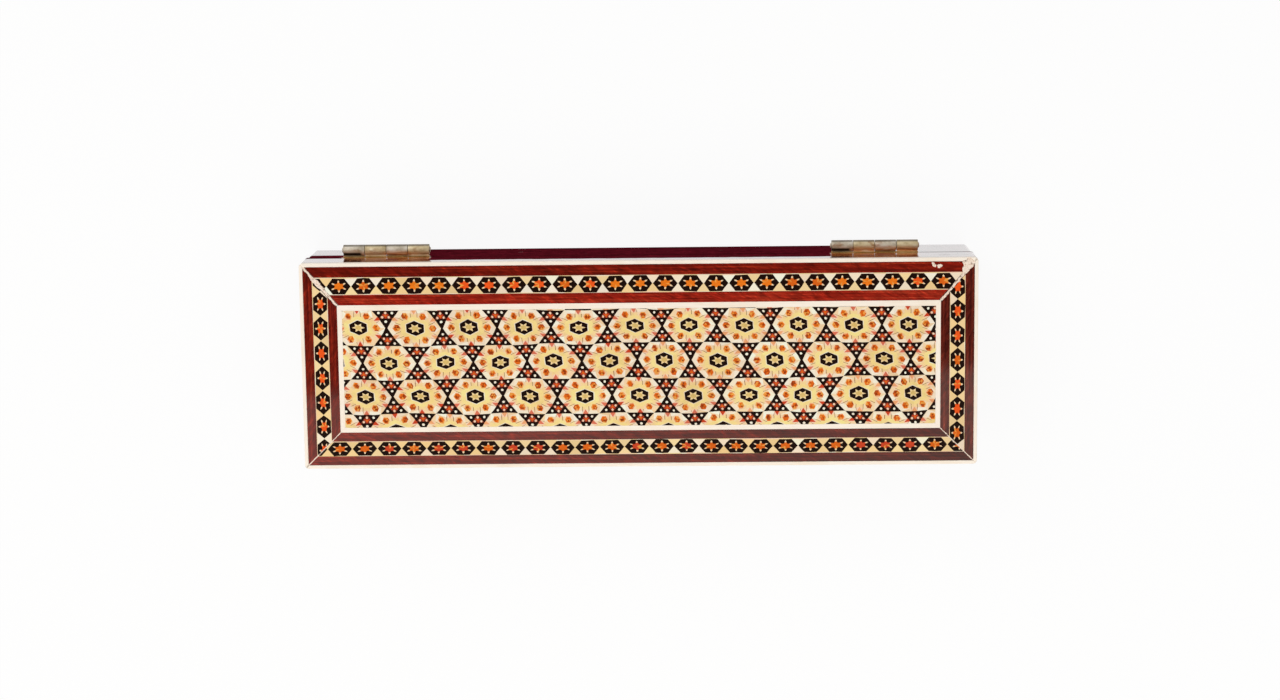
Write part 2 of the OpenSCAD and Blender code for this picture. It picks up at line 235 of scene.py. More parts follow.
def back_lacquer(name, dull_high):
    """Maroon lacquer on the back: dull between the hinges up to a height, and glossy past them and above, where
    it is also painted a little paler as a painted reflection.

    At the hinges it turns orange-brown to copper, partly worn wood and partly a painted reflection of the brass,
    darker towards the lid's top as painted shade. A dark band where lid and body meet is a painted shadow, and
    towards the left end around that band it is held dull as painted shade."""
    made = Finish(name, {"Coat Roughness": 0.08, "Coat IOR": 1.5})
    scuffs = made.noise((6 * MM, 2 * MM, 2 * MM), 4.0, 0.65)
    clouds = made.noise((14 * MM, 8 * MM, 8 * MM), 4.0, 0.6)
    (left_low, left_high), (right_low, _) = HINGE_BOXES
    ends = made.math("SUBTRACT", 1.0, made.span("X", left_high.x, right_low.x, HINGE_LENGTH))
    ends = made.frayed(ends, clouds, 0.8, 1.4)
    height = made.frayed(made.reach("Z", dull_high, dull_high + 2 * MM), scuffs, 0.7, 1.2)
    # A dark band where lid and body meet: painted shadow.
    parting_shadow = made.span("Z", LID_FOOT - 1.8 * MM, LID_FOOT + 0.6 * MM, 0.8 * MM)
    shade = made.math("MULTIPLY", made.reach("X", left_high.x, left_low.x),
                      made.span("Z", LID_FOOT - 7 * MM, LID_FOOT + 2.5 * MM, MM))
    bright = made.math("MULTIPLY", made.math("MAXIMUM", ends, height),
                       made.math("SUBTRACT", 1.0, made.math("MAXIMUM", parting_shadow, shade)))
    # Orange-brown to copper patches behind the hinges: partly worn wood, partly a painted reflection of the
    # brass.
    behind = [made.span("X", low.x, high.x, 2 * MM) for low, high in HINGE_BOXES]
    wear_and_reflection = made.math("MULTIPLY", made.math("MAXIMUM", *behind),
                     made.reach("Z", left_low.z - 2 * MM, left_low.z))
    wear_and_reflection = made.frayed(wear_and_reflection, scuffs, 1.2, 1.6)
    wood_and_reflection_colour = made.ramp(scuffs, (0.3, linear("7c3410")), (0.5, linear("ba6424")), (0.7, linear("e6a864")))
    # The patches darken towards the lid's top: painted shade.
    upper_shade = made.math("MULTIPLY", made.reach("Z", LID_FOOT + 2 * MM, LID_FOOT + 10 * MM), 0.85)
    wood_and_reflection_colour = made.mix(upper_shade, wood_and_reflection_colour, linear("5c2818"))
    colour = grained(made, "x", "3c0812", "55101c", "6c1824")
    # The glossy parts are painted a little paler: a painted reflection.
    colour = made.mix(made.math("MULTIPLY", bright, 0.06), colour, linear("f0d8d4"))
    colour = made.mix(parting_shadow, colour, linear("2c0c0c"))
    colour = made.mix(wear_and_reflection, colour, wood_and_reflection_colour)
    made.set(Base_Color=colour, Coat_Weight=made.math("MAXIMUM", bright, wear_and_reflection),
             Specular_IOR_Level=made.math("MULTIPLY", bright, 0.5),
             Roughness=made.mix(bright, made.ramp(scuffs, (0.3, 0.9), (0.7, 0.7)), (0.12, 0.12, 0.12, 1.0)))
    made.bump(scuffs, 0.04 * MM)
    return made.material


def bone(name, axis):
    """Aged white bone strip with faint lengthwise fibres, yellowed patches and dark specks."""
    made = Finish(name, {**LACQUER, "Coat Weight": 0.4, "Coat Roughness": 0.2})
    fibre = made.noise(along_axis(axis, 9 * MM, 0.25 * MM), 3.0, 0.6)
    patches = made.noise((14 * MM, 14 * MM, 6 * MM), 3.0, 0.55)
    specks = made.noise((0.5 * MM, 0.5 * MM, 0.5 * MM), 2.0, 0.7)
    colour = made.ramp(fibre, (0.3, linear("f4e6d4")), (0.5, linear("fbf0e2")), (0.8, linear("fcf4ea")))
    stained = made.mix(made.ramp(patches, (0.52, 0.0), (0.8, 0.45)), colour, linear("ecd2ac"))
    made.set(Base_Color=made.mix(made.ramp(specks, (0.70, 0.0), (0.78, 0.6)), stained, linear("8a6a50")),
             Roughness=made.ramp(fibre, (0.3, 0.5), (0.7, 0.34)))
    made.bump(fibre, 0.015 * MM)
    return made.material


def khatam(name):
    """Small rods of wood and bone under one coat of lacquer; each face holds its own tint."""
    made = Finish(name, {"Coat Weight": 0.12, "Coat Roughness": 0.25, "Coat IOR": 1.5, "Specular IOR Level": 0.0})
    tint = made.node("Attribute", {}, attribute_name="tint").outputs["Color"]
    end_grain = made.noise((0.22 * MM, 0.22 * MM, 0.22 * MM), 3.0, 0.65)
    age = made.noise((16 * MM, 16 * MM, 16 * MM), 3.0, 0.55)
    colour = made.mix(1.0, tint, made.ramp(end_grain, (0.25, 0.86), (0.55, 1.0), (0.85, 1.06)), "MULTIPLY")
    colour = made.mix(made.ramp(age, (0.5, 0.0), (0.8, 0.25)), colour,
                      made.mix(1.0, colour, linear("f0cf98"), "MULTIPLY"))
    made.set(Base_Color=colour, Roughness=made.ramp(end_grain, (0.3, 0.6), (0.7, 0.42)))
    made.bump(made.noise((5 * MM, 5 * MM, 5 * MM), 3.0), 0.03 * MM)
    return made.material


def timber(name, axis):
    """Bare carcass wood with growth rings drawn out along one axis."""
    made = Finish(name, {"Specular IOR Level": 0.35})
    rings = made.noise(along_axis(axis, 60 * MM, 1.6 * MM), 4.0, 0.55, 0.8)
    fibre = made.noise(along_axis(axis, 6 * MM, 0.16 * MM), 3.0, 0.65)
    colour = made.ramp(rings, (0.3, linear("7a5230")), (0.5, linear("a87a4a")), (0.7, linear("bd9160")))
    colour = made.mix(1.0, colour, made.ramp(fibre, (0.3, 0.72), (0.65, 1.06)), "MULTIPLY")
    made.set(Base_Color=colour, Roughness=made.ramp(fibre, (0.3, 0.78), (0.7, 0.55)))
    made.bump(fibre, 0.05 * MM)
    return made.material


def velvet(name):
    """Crimson cotton velvet: short pile with brushed patches and a soft sheen."""
    made = Finish(name, {"Sheen Weight": 0.8, "Sheen Roughness": 0.35, "Sheen Tint": linear("e0707a"),
                         "Specular IOR Level": 0.1})
    pile = made.noise((0.16 * MM, 0.16 * MM, 0.16 * MM), 3.0, 0.7)
    brushed = made.noise((11 * MM, 7 * MM, 7 * MM), 3.0, 0.6, 0.5)
    colour = made.ramp(pile, (0.25, linear("3c0610")), (0.5, linear("7a1020")), (0.8, linear("961c2c")))
    colour = made.mix(1.0, colour, made.ramp(brushed, (0.35, 0.7), (0.65, 1.15)), "MULTIPLY")
    made.set(Base_Color=colour, Roughness=made.ramp(brushed, (0.3, 0.95), (0.7, 0.75)))
    made.bump(pile, 0.12 * MM)
    return made.material


def brass(name, dark, middle, light):
    """Old brass: grey-beige stained barrels, with painted golden glints under some knuckles, a painted shadow
    under the first and painted shade along the barrels' far side.

    The leaves, which lie between the rims, have kept their plain golden colour."""
    made = Finish(name, {})
    cloud = made.noise((3.5 * MM, 2.5 * MM, 2.5 * MM), 4.0, 0.6)
    stain = made.noise((6 * MM, 3 * MM, 3 * MM), 4.0, 0.65, 0.6)
    streaks = made.noise((5 * MM, 0.7 * MM, 0.7 * MM), 3.0, 0.6, 0.8)
    scratch = made.noise((4 * MM, 0.06 * MM, 0.06 * MM), 2.0, 0.6)
    back = CAD_BOX[1].y
    colour = made.ramp(cloud, (0.3, linear(dark)), (0.5, linear(middle)), (0.72, linear(light)))
    colour = made.mix(made.ramp(stain, (0.54, 0.0), (0.68, 0.8)), colour, linear("a4662e"))
    left, right = (low.x for low, _ in HINGE_BOXES)
    # Golden to near-white streaks on the barrels' side towards the box, strong on some knuckles and faint on the
    # rest: painted glints.
    streaked = [made.span("X", left + 0.5 * HINGE_LENGTH, left + 0.75 * HINGE_LENGTH, 2 * MM),
                made.span("X", right + 0.25 * HINGE_LENGTH, right + HINGE_LENGTH, 2 * MM)]
    faint = 0.3  # share of the streaks on the other knuckles
    streaked = made.math("MAXIMUM", made.math("MAXIMUM", *streaked), faint)
    under = made.math("MULTIPLY", made.reach("Y", back - 1.6 * MM, back - 3 * MM), streaked)
    golden = made.ramp(streaks, (0.32, linear("a0602a")), (0.5, linear("f0a864")), (0.68, linear("ffe6bc")))
    colour = made.mix(under, colour, golden)
    # The barrels' far side is painted dark: painted shade.
    limb_shade = made.ramp(made.reach("Y", back - 0.7 * MM, back), (0.1, 0.0), (0.6, 0.8))
    colour = made.mix(limb_shade, colour, linear("564c40"))
    # A black band under the first knuckle of each hinge: painted shadow.
    firsts = [made.span("X", low.x, low.x + 5.6 * MM, 0.8 * MM) for low, _ in HINGE_BOXES]
    foot = made.math("MULTIPLY", made.math("MAXIMUM", *firsts),
                     made.span("Y", back - 3.3 * MM, back - 2.7 * MM, 0.5 * MM))
    colour = made.mix(foot, colour, linear("1e1408"))
    leaf = made.reach("Y", back - 3.5 * MM, back - 4 * MM)
    plain = made.ramp(stain, (0.34, linear("8c6a34")), (0.5, linear("c09c58")), (0.68, linear("dcc082")))
    colour = made.mix(leaf, colour, plain)
    colour = made.mix(1.0, colour, made.ramp(scratch, (0.3, 0.82), (0.6, 1.0)), "MULTIPLY")
    worn_metal = made.ramp(cloud, (0.35, 0.1), (0.7, 0.5))
    made.set(Base_Color=colour, Metallic=made.math("MAXIMUM", worn_metal, made.math("MULTIPLY", leaf, 0.9)),
             Roughness=made.ramp(cloud, (0.3, 0.6), (0.7, 0.35)))
    made.bump(made.math("ADD", scratch, stain), 0.05 * MM)
    return made.material


def putty(name):
    """Pale filler in the open mitres, crumbled, with pinkish patches and dark gaps."""
    made = Finish(name, {"Specular IOR Level": 0.3, "Coat Weight": 0.3, "Coat Roughness": 0.2})
    crumbs = made.noise((0.5 * MM, 0.5 * MM, 0.5 * MM), 4.0, 0.7)
    gaps = made.noise((1.3 * MM, 1.3 * MM, 1.3 * MM), 3.0, 0.65)
    colour = made.ramp(crumbs, (0.3, linear("c09070")), (0.46, linear("f2dcc8")), (0.7, linear("fcf2e6")))
    colour = made.mix(made.ramp(gaps, (0.34, 0.85), (0.42, 0.0)), colour, linear("5c3a2a"))
    made.set(Base_Color=colour, Roughness=made.ramp(crumbs, (0.3, 0.8), (0.7, 0.5)))
    made.bump(crumbs, 0.12 * MM)
    return made.material


# The front strips are painted lighter towards the left end and darker towards the right: painted light and shade.
BROWN = {"x": veneer("brown_veneer_x", "x", "4c0e08", "6c180c", "8c2c18", left=1.25, right=0.4),
         "y": veneer("brown_veneer_y", "y", "4c0e08", "6c180c", "8c2c18")}
# A darker copy of the brown veneer, for the strips on the box's right side: painted shade.
SHADED_BROWN = veneer("shaded_brown_veneer", "y", "3a0e0a", "581b11", "742c1e")
# The back's outer banding is painted darker towards its left end: painted shade.
RUSSET = veneer("russet_veneer", "x", "54100a", "7c180b", "a43018", left=0.66)
RED_BROWN = veneer("red_brown_veneer", "x", "6d130a", "942112", "b5442a")
MAROON = {"back_veneer": back_lacquer("maroon_lacquer", LID_TOP),
          "lid_back_veneer": back_lacquer("lid_maroon_lacquer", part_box("lid_back_veneer")[1].z - 4.3 * MM)}
BONE = {axis: bone(f"bone_{axis}", axis) for axis in "xy"}
TIMBER = {axis: timber(f"carcass_wood_{axis}", axis) for axis in "xy"}
KHATAM = khatam("khatam_marquetry")
VELVET = velvet("crimson_velvet")
BRASS = {"body": brass("grey_brass", "a29478", "dccfb8", "f6eedf"),
         "lid": brass("beige_brass", "b49e70", "e0cb9e", "f2e4c2")}
PUTTY = putty("mitre_putty")


# Carried-over solids

WELD = 0.002 * MM  # corners closer than this are one
CREASE = math.radians(40)  # edges that turn more than this are softened
SOFT = {"board": 0.2 * MM, "wall": 0.15 * MM, "lid_board": 0.1 * MM, "edging": 0.2 * MM, "stringing": 0.06 * MM,
        "banding": 0.09 * MM, "veneer": 0.1 * MM, "lines": 0.12 * MM, "hinge": 0.12 * MM, "nails": 0.08 * MM}


def dress(node, material, edge):
    """Gives a CAD solid its finish, and softens its edges by that width."""
    solid = NODES[node]
    solid.data.materials.clear()
    solid.data.materials.append(material)
    weld = solid.modifiers.new("one_skin", "WELD")
    weld.merge_threshold = WELD
    soften = solid.modifiers.new("soft_edges", "BEVEL")
    soften.width = edge
    soften.segments = 2
    soften.limit_method = "ANGLE"
    soften.angle_limit = CREASE
    soften.harden_normals = True


for side in SIDES:
    run = "x" if side in ("front", "back") else "y"
    # The right side's strips take the darker copy of the veneer: painted shade.
    brown = SHADED_BROWN if side == "right" else BROWN[run]
    dress(f"{side}_wall", TIMBER[run], SOFT["wall"])
    dress(f"lid_{side}_rail", TIMBER[run], SOFT["wall"])
    dress(f"{side}_edging", BONE[run], SOFT["edging"])
    dress(f"{side}_stringing", BONE[run], SOFT["stringing"])
    dress(f"{side}_outer_banding", RUSSET if side == "back" else brown, SOFT["banding"])
    dress(f"{side}_inner_banding", RED_BROWN if side == "back" else brown, SOFT["banding"])
    if side != "back":
        dress(f"lid_{side}_veneer", brown, SOFT["veneer"])
        dress(f"{side}_banding", brown, SOFT["banding"])
        dress(f"{side}_lines", BONE[run], SOFT["lines"])
for node, material in MAROON.items():
    dress(node, material, SOFT["veneer"])
dress("base_board", TIMBER["x"], SOFT["board"])
dress("lid_board", TIMBER["x"], SOFT["lid_board"])
for hinge in ("left", "right"):
    for piece, metal in (("body_leaf", "body"), ("lid_leaf", "lid"), ("pin", "body")):
        dress(f"{hinge}_hinge_{piece}", BRASS[metal], SOFT["hinge"])
for leaf in ("body", "lid"):
    dress(f"hinge_{leaf}_nails", BRASS[leaf], SOFT["nails"])


# Marquetry patterns: tesserae are (kind, corners), corners anticlockwise in the plane of the face

SWELL = 0.05  # how far a flower's edge swells towards the middle of the ground beside it
WAIST = 0.04  # half the width at which grounds join between flowers of a row, as a share of a flower's radius
GROUND_ROWS = 4  # rows of small triangles in a ground triangle
DOT_SHARE = 0.72  # how far a dot reaches from the middle to the edge of the small triangle that it lies in
SEAM_SHARE = 0.15  # width of the dark seam beside a petal, as a share of the way to the middle of the gap
GAP_SHARE = 0.42  # half the foot of a red gap triangle, as a share of a quarter of the flower's edge
ROUNDING = Vector((0.8, 1.1))  # makes spots and dots as high as they are wide where rows lie close


def polar(radius, degrees):
    return Vector((radius * math.cos(math.radians(degrees)), radius * math.sin(math.radians(degrees))))


def swollen(point, ground_middle, amount):
    return point.lerp(ground_middle, SWELL * min(1, amount))


def flower_wedge():
    """One twelfth of a flower of radius 1, from a petal's axis, at 0 degrees, to a gap's, at 30, and its spot.

    A corner's Z is the share of the petal tip's shift that it follows, and its W is 1 on a spot."""
    ground_middle = polar(2 / math.sqrt(3), 30)

    def edge(t):
        point = swollen(polar(1, 0).lerp(polar(1, 60), t), ground_middle, 4 * t * (1 - t))
        return Vector((point.x, point.y, 1 - 2 * t))

    petal_tip, quarter, gap_middle = (edge(t) for t in (0, 0.25, 0.5))
    gap_side = gap_middle.lerp(quarter, GAP_SHARE)
    centre = Vector((0, 0))
    valley = polar(0.122, 30)
    valley_foot = Vector((valley.x, 0))
    star_tip = polar(0.24, 0)
    heart_corner = polar(0.362, 30)
    heart_flat = Vector((heart_corner.x, 0))
    ring_corner = polar(0.395, 30)
    ring_flat = Vector((ring_corner.x, 0))
    field_foot = polar(0.45, 0)
    field_knee = polar(0.53, 16)
    field_corner = polar(0.56, 30)
    petal_side = polar(0.72, 19.5)
    gap_foot = polar(0.66, 30)
    seam_foot = field_knee.lerp(field_corner, SEAM_SHARE)
    seam_side = petal_side.lerp(gap_foot, SEAM_SHARE)
    spot = polar(0.655, 0)
    around = [spot + polar(radius, a) for radius, a in ((0.165, 0), (0.16, 60), (0.16, 120), (0.185, 180))]
    rim, core = ([Vector((*spot.lerp(p, share), 0, 1)) for p in around] for share in (1, 0.66))
    wedge = [
        ("gold", [centre, valley_foot, valley]),
        ("cream", [valley_foot, star_tip, valley]),
        ("black", [star_tip, heart_flat, heart_corner, valley]),
        ("petal", [heart_flat, ring_flat, ring_corner, heart_corner]),
        ("yellow", [ring_flat, field_foot, field_knee, seam_foot, field_corner, ring_corner]),
        ("petal_foot", [field_foot, rim[3], rim[2], field_knee]),
        ("petal_foot", [seam_foot, seam_side, gap_foot, field_corner]),
        ("seam", [field_knee, petal_side, seam_side, seam_foot]),
        ("seam", [seam_side, petal_side, gap_side]),
        ("petal_side", [field_knee, rim[2], rim[1], petal_side]),
        ("petal", [rim[0], petal_tip, petal_side, rim[1]]),
        *(("spot", [spot, core[i], core[i + 1]]) for i in range(3)),
        *(("halo", [core[i], rim[i], rim[i + 1], core[i + 1]]) for i in range(3)),
        ("gap", [gap_foot, gap_side, gap_middle]),
        ("pink", [gap_foot, seam_side, gap_side]),
        ("petal", [petal_side, petal_tip, quarter, gap_side]),
    ]
    return [(kind, [p.resized(4) for p in corners]) for kind, corners in wedge], spot


def flower():
    """A flower of radius 1. Its tips to both sides are drawn in."""
    wedge, spot = flower_wedge()
    for k in range(6):
        turn = Matrix.Rotation(math.radians(60 * k), 2)
        shift = polar(-WAIST, 60 * k) if k % 3 == 0 else Vector((0, 0))
        heart = turn @ spot
        for hand in (1, -1):
            for kind, corners in wedge:
                ring = []
                for x, y, follows, on_spot in corners:
                    point = turn @ Vector((x, hand * y)) + follows * shift
                    ring.append(heart + (point - heart) * ROUNDING if on_spot else point)
                yield kind, ring[::hand]


def star_wedge():
    """One twelfth of a border star in its black hexagon of radius 1: from a corner to a side's middle."""
    centre = Vector((0, 0))
    valley = polar(0.3, 0)
    heart_tip = polar(0.44, 30)
    pale_tip = polar(0.69, 30)
    tip_side = polar(0.45, 21)
    tip_shoulder = polar(0.58, 23)
    corner = polar(1, 0)
    side_middle = polar(math.cos(math.radians(30)), 30)
    return [
        ("spot", [centre, valley, tip_side, heart_tip]),
        ("petal_side", [tip_side, tip_shoulder, pale_tip, heart_tip]),
        ("black", [valley, corner, tip_shoulder, tip_side]),
        ("black", [corner, side_middle, pale_tip, tip_shoulder]),
    ]


def all_round(wedge):
    """The twelve turned and mirrored copies of a wedge."""
    for k in range(6):
        turn = Matrix.Rotation(math.radians(60 * k), 2)
        for kind, corners in wedge:
            yield kind, [turn @ p for p in corners]
            yield kind, [turn @ Vector((p.x, -p.y)) for p in reversed(corners)]


def ground(a, b, c):
    """The black ground between three flowers, blunt at b: rows of triangles, dotted white, red in the middle."""
    middle = (a + b + c) / 3
    rows = GROUND_ROWS

    def at(i, j, k, side=0):
        """A grid point; side is 1 or -1 for the end of the blunt corner towards a or c."""
        mixed = i * j + j * k + k * i
        point = swollen((i * a + j * b + k * c) / rows, middle, 4 * mixed / rows ** 2)
        share = (i - k) / (i + k) if i + k else side
        return point + (c - a) * share * WAIST * min(0, 1 - 2 * j / rows)

    def side_of(keys):
        """A triangle's corners, with the foot of a red gap triangle where an edge lies beside one."""
        corners = []
        for here, there in zip(keys, keys[1:] + keys[:1]):
            corners += [at(*here)] if here[1] < rows else [at(*here, 1), at(*here, -1)]
            pair = sorted((sorted(here), sorted(there)))
            if pair == [[0, 1, 3], [0, 2, 2]] and any(h == t == 0 for h, t in zip(here, there)):
                near, far = (here, there) if sorted(here) == [0, 2, 2] else (there, here)
                corners.append(at(*near).lerp(at(*far), GAP_SHARE))
        return corners

    for i in range(rows):
        for j in range(rows - i):
            k = rows - 1 - i - j
            rod = side_of([(i + 1, j, k), (i, j + 1, k), (i, j, k + 1)])
            if i == j == k:
                yield from dotted(rod, "red", "orange")
            else:
                yield "black", rod
            if k > 0:
                hole = [at(i + 1, j + 1, k - 1), at(i, j + 1, k), at(i + 1, j, k)]
                by_corner = max(i, j, k - 1) == rows - 2
                yield from dotted(hole, *(("black", "white") if by_corner else ("mahogany", "pink")))


def dotted(corners, outer, inner):
    """A triangle with a six-sided dot of another kind inside it."""
    heart = sum(corners, Vector((0, 0))) / 3

    def near(n, m):
        """The dot's corner by one corner of the triangle, on the side of another."""
        return heart + (corners[n].lerp(corners[m], 1 / 3) - heart) * DOT_SHARE * ROUNDING

    yield inner, [p for n in range(3) for p in (near(n, n - 1), near(n, (n + 1) % 3))]
    for n in range(3):
        after = (n + 1) % 3
        yield outer, [corners[n], corners[after], near(after, n), near(n, after)]
        yield outer, [corners[n], near(n, after), near(n, n - 1)]


SLOW_LENGTH = 17 * MM  # over which rods drift together
QUICK_LENGTH, QUICK_SWAY = 2.6 * MM, 0.13 * MM
FINE_LENGTH, FINE_SWAY = 1.1 * MM, 0.1 * MM


def shaken(point, seed, sway):
    """A point moved a little, as hand-cut rods lie: slowly over a few flowers, and from rod to rod."""

    def wave(length, layer):
        return noise.noise_vector(Vector((point.x / length, point.y / length, seed + layer))).xy

    return (point + sway * wave(SLOW_LENGTH, 0) + QUICK_SWAY * wave(QUICK_LENGTH, 9.5)
            + FINE_SWAY * wave(FINE_LENGTH, 20.5))


def within(corners, outline):
    """A convex polygon cut to a convex anticlockwise outline."""
    for start, end in zip(outline, outline[1:] + outline[:1]):
        along = end - start
        depth = [along.cross(p - start) for p in corners]
        kept = []
        for n, p in enumerate(corners):
            q, d, e = corners[n - 1], depth[n], depth[n - 1]
            if (d >= 0) != (e >= 0):
                kept.append(q.lerp(p, e / (e - d)))
            if d >= 0:
                kept.append(p)
        corners = kept
        if len(corners) < 3:
            return []
    return corners


FLOWER_R = 8.93 * MM
FLOWER_SQUASH = 0.7392  # rows lie closer than in an even lattice
FLOWER_LEAN = -0.06  # rows step sideways by this share of their distance
FLOWER_SWAY = 0.75 * MM
FLOWER_TONES = (0.94, 1.04)
SPOT_KINDS = ("orange", "orange", "rust", "amber", "brick")
HALO_KINDS = ("orange", "flame", "amber", "amber", "salmon", "rust")
PETAL_KINDS = ("petal", "petal", "white", "petal_side")
GAP_KINDS = ("red", "rose", "rose", "salmon")
SEAM_KINDS = ("olive", "olive", "petal_foot", "mahogany")


def flowers(outline, first, seed):
    """Flowers and ground over an outline, with one flower's middle at first, as (kind, tone, corners)."""
    draw = random.Random(seed)
    low, high = (Vector(map(f, *outline)) for f in (min, max))
    step = 2 * FLOWER_R
    row = math.sqrt(3) * FLOWER_R

    def laid(p):
        y = p.y * FLOWER_SQUASH
        return shaken(first + Vector((p.x + y * FLOWER_LEAN, y)), seed, FLOWER_SWAY)

    shape = list(flower())
    top = [polar(FLOWER_R, 60), Vector((0, row)), polar(FLOWER_R, 120)]
    bottom = [polar(FLOWER_R, 240), Vector((0, -row)), polar(FLOWER_R, 300)]
    for j in range(*row_range(low.y - first.y, high.y - first.y, row * FLOWER_SQUASH)):
        shift = j * FLOWER_R + j * row * FLOWER_SQUASH * FLOWER_LEAN
        for i in range(*row_range(low.x - first.x - shift, high.x - first.x - shift, step)):
            middle = Vector((i * step + j * FLOWER_R, j * row))
            tone = draw.uniform(*FLOWER_TONES)
            choices = {"spot": SPOT_KINDS, "halo": HALO_KINDS, "petal": PETAL_KINDS, "seam": SEAM_KINDS,
                       "gap": [draw.choice(GAP_KINDS)]}
            for kind, corners in shape:
                kind = draw.choice(choices.get(kind, [kind]))
                yield kind, tone, [laid(middle + FLOWER_R * p) for p in corners]
            for triangle in (top, bottom):
                for kind, corners in ground(*triangle):
                    yield kind, 1.0, [laid(middle + p) for p in corners]


def row_range(low, high, step):
    """First and past-last numbers of the copies, a step apart, that can reach into a stretch."""
    return math.floor(low / step) - 1, math.ceil(high / step) + 2


STAR_LENGTH = 7.95 * MM
STAR_SHARE = 0.92  # of the strip's width
STAR_SWAY = 0.25 * MM
STAR_TONES = (0.92, 1.05)
HEART_SHARE = 0.85  # of a star's rods that have its heart's colour; the rest are amber
LINE_KINDS = ("cream", "petal", "pink", "petal_side")


def stars(outline, first, pitch, hearts, grounds, seed):
    """A row of black hexagons with stars along X, pale ground between them and a pale line on each side."""
    draw = random.Random(seed)
    low, high = (Vector(map(f, *outline)) for f in (min, max))
    half_w = (high.y - low.y) / 2
    half_h = half_w * STAR_SHARE
    half_l = STAR_LENGTH / 2
    axis = (high.y + low.y) / 2
    unit = half_h / math.cos(math.radians(30))
    reach = 2 * half_w
    for i in range(*row_range(low.x - first, high.x - first, pitch)):
        middle = Vector((first + i * pitch, axis))

        def laid(p):
            return shaken(middle + p, seed, STAR_SWAY)

        heart = draw.choice(hearts)
        for kind, corners in all_round(star_wedge()):
            if kind == "spot":
                kind = heart if draw.random() < HEART_SHARE else "amber"
            yield kind, 1.0, [laid(Vector((p.x * half_l, p.y * unit))) for p in corners]
        tone = draw.uniform(*STAR_TONES)
        for side in (1, -1):
            far = pitch - half_l
            between = [(half_l, 0), (far, 0),
                       (far + half_l / 4, side * half_h / 2), (far + half_l / 2, side * half_h),
                       (half_l / 2, side * half_h), (half_l * 3 / 4, side * half_h / 2)]
            line_at = [-half_l / 2, 0, half_l / 2, pitch - half_l / 2]
            polygons = [(draw.choice(grounds), between)]
            for start, end in zip(line_at, line_at[1:]):
                line = [(start, side * half_h), (end, side * half_h), (end, side * reach), (start, side * reach)]
                polygons.append((draw.choice(LINE_KINDS), line))
            for kind, corners in polygons:
                points = [laid(Vector(p)) for p in corners]
                yield kind, tone, points if side > 0 else points[::-1]


# Marquetry pieces

FLAT = 0.001 * MM  # corners this close to the outermost level lie on a solid's show face
JOIN = 0.004 * MM  # tesserae's corners closer than this are one
LEAST_AREA = 1e-12  # of a tessera that is kept, in square metres
ROD_SHADES = (0.9, 1.05)
LIGHTEST = 0.92  # of a tint's channels


def show_face(node, right, up):
    """The outline of a solid's face towards right x up, in that plane, and how far out it lies."""
    out = right.cross(up)
    corners = [v.co for v in NODES[node].data.vertices]
    level = max(p.dot(out) for p in corners)
    flat = [Vector((p.dot(right), p.dot(up))) for p in corners if p.dot(out) > level - FLAT]
    return [flat[i] for i in geometry.convex_hull_2d(flat)], level


def marquetry(node, tesserae, outline, place, back, bends=()):
    """A closed inlay in a node's place: a face of tesserae, cut to an outline, and plain sides and back.

    place gives the point of the show face above a point of the outline's plane, and back the point
    behind it. The face is cut at the bends first, where it turns round a corner."""
    mesh = bmesh.new()
    tint = mesh.faces.layers.float_color.new("tint")
    draw = random.Random(node)
    for kind, tone, corners in tesserae:
        corners = within(corners, outline)
        if len(corners) < 3 or abs(geometry.area_tri(*(p.to_3d() for p in corners[:3]))) < LEAST_AREA:
            continue
        face = mesh.faces.new([mesh.verts.new(p.to_3d()) for p in corners])
        shade = tone * draw.uniform(*ROD_SHADES)
        face[tint] = [min(LIGHTEST, c * shade) for c in linear(TESSERA_COLOURS[kind])[:3]] + [1.0]
    bmesh.ops.remove_doubles(mesh, verts=mesh.verts, dist=JOIN)
    for bend in bends:
        bmesh.ops.bisect_plane(mesh, geom=mesh.verts[:] + mesh.edges[:] + mesh.faces[:],
                               plane_co=(bend, 0, 0), plane_no=X)
    rim = [e for e in mesh.edges if e.is_boundary]
    walls = bmesh.ops.extrude_edge_only(mesh, edges=rim)["geom"]
    behind = {g for g in walls if isinstance(g, bmesh.types.BMVert)}
    closing = bmesh.ops.holes_fill(mesh, edges=[g for g in walls if isinstance(g, bmesh.types.BMEdge)
                                                and g.is_boundary])["faces"]
    for face in [g for g in walls if isinstance(g, bmesh.types.BMFace)] + closing:
        face[tint] = linear(TESSERA_COLOURS["glue"])
    for v in mesh.verts:
        v.co = back(v.co.xy) if v in behind else place(v.co.xy)
    bmesh.ops.recalc_face_normals(mesh, faces=mesh.faces)
    return piece_from(mesh, node + "_tesserae", node, KHATAM)


def piece_from(mesh, name, node, material):
    """An object from a finished bmesh that stands for a CAD node."""
    data = bpy.data.meshes.new(name)
    mesh.to_mesh(data)
    mesh.free()
    data.materials.append(material)
    made = bpy.data.objects.new(name, data)
    bpy.context.scene.collection.objects.link(made)
    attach(made, BODY_OF[node])
    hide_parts(node)
    return made


def thickness(node, out):
    low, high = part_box(node)
    return abs((high - low).dot(out))


def flat_inlay(node, right, up, pattern):
    """A flat inlay on the lid, whose pattern runs along right."""
    outline, level = show_face(node, right, up)
    out = right.cross(up)
    depth = thickness(node, out)

    def place(p):
        return right * p.x + up * p.y + out * level

    marquetry(node, pattern(outline), outline, place, lambda p: place(p) - out * depth)


